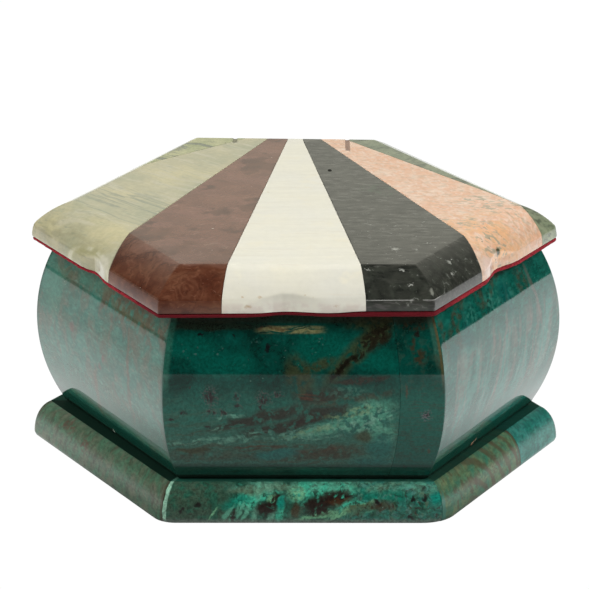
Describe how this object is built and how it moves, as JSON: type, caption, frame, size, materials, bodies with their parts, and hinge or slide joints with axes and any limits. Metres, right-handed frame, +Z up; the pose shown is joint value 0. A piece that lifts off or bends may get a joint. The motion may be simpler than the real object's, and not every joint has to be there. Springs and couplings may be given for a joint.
{
  "type": "stone mosaic box",
  "caption": "Six-sided casket pieced from polished stones, with a rounded plinth, barrel-shaped walls and a bevelled lift-off lid lined with felt.",
  "frame": {"origin": "middle of the plinth's underside, on the surface that the box stands on", "axes": "+Z up; the wide front wall faces -Y; +X to the right as the front is seen"},
  "size_m": [0.135, 0.1167, 0.0633],
  "materials": {
    "plinth_stone": "polished",
    "floor_stone": "honed",
    "wall_stone": "polished",
    "olive_stone": "polished",
    "pale_stone": "polished",
    "brown_stone": "polished",
    "white_stone": "polished",
    "black_stone": "polished",
    "pink_granite": "polished",
    "grey_green_stone": "polished",
    "felt": "matte"
  },
  "bodies": {
    "root": {"plinth_front": "plinth_stone", "plinth_front_right_near": "plinth_stone", "plinth_front_right_far": "plinth_stone", "plinth_rear_right": "plinth_stone", "plinth_rear": "plinth_stone", "plinth_rear_left": "plinth_stone", "plinth_front_left": "plinth_stone", "base_slab": "floor_stone", "wall_front_main": "wall_stone", "wall_front_strip": "wall_stone", "wall_front_right": "wall_stone", "wall_rear_right": "wall_stone", "wall_rear": "wall_stone", "wall_rear_left": "wall_stone", "wall_front_left": "wall_stone", "lid_olive": "olive_stone", "lid_pale": "pale_stone", "lid_brown": "brown_stone", "lid_white": "white_stone", "lid_black": "black_stone", "lid_pink": "pink_granite", "lid_grey_green": "grey_green_stone", "lid_felt": "felt"}
  },
  "joints": []
}
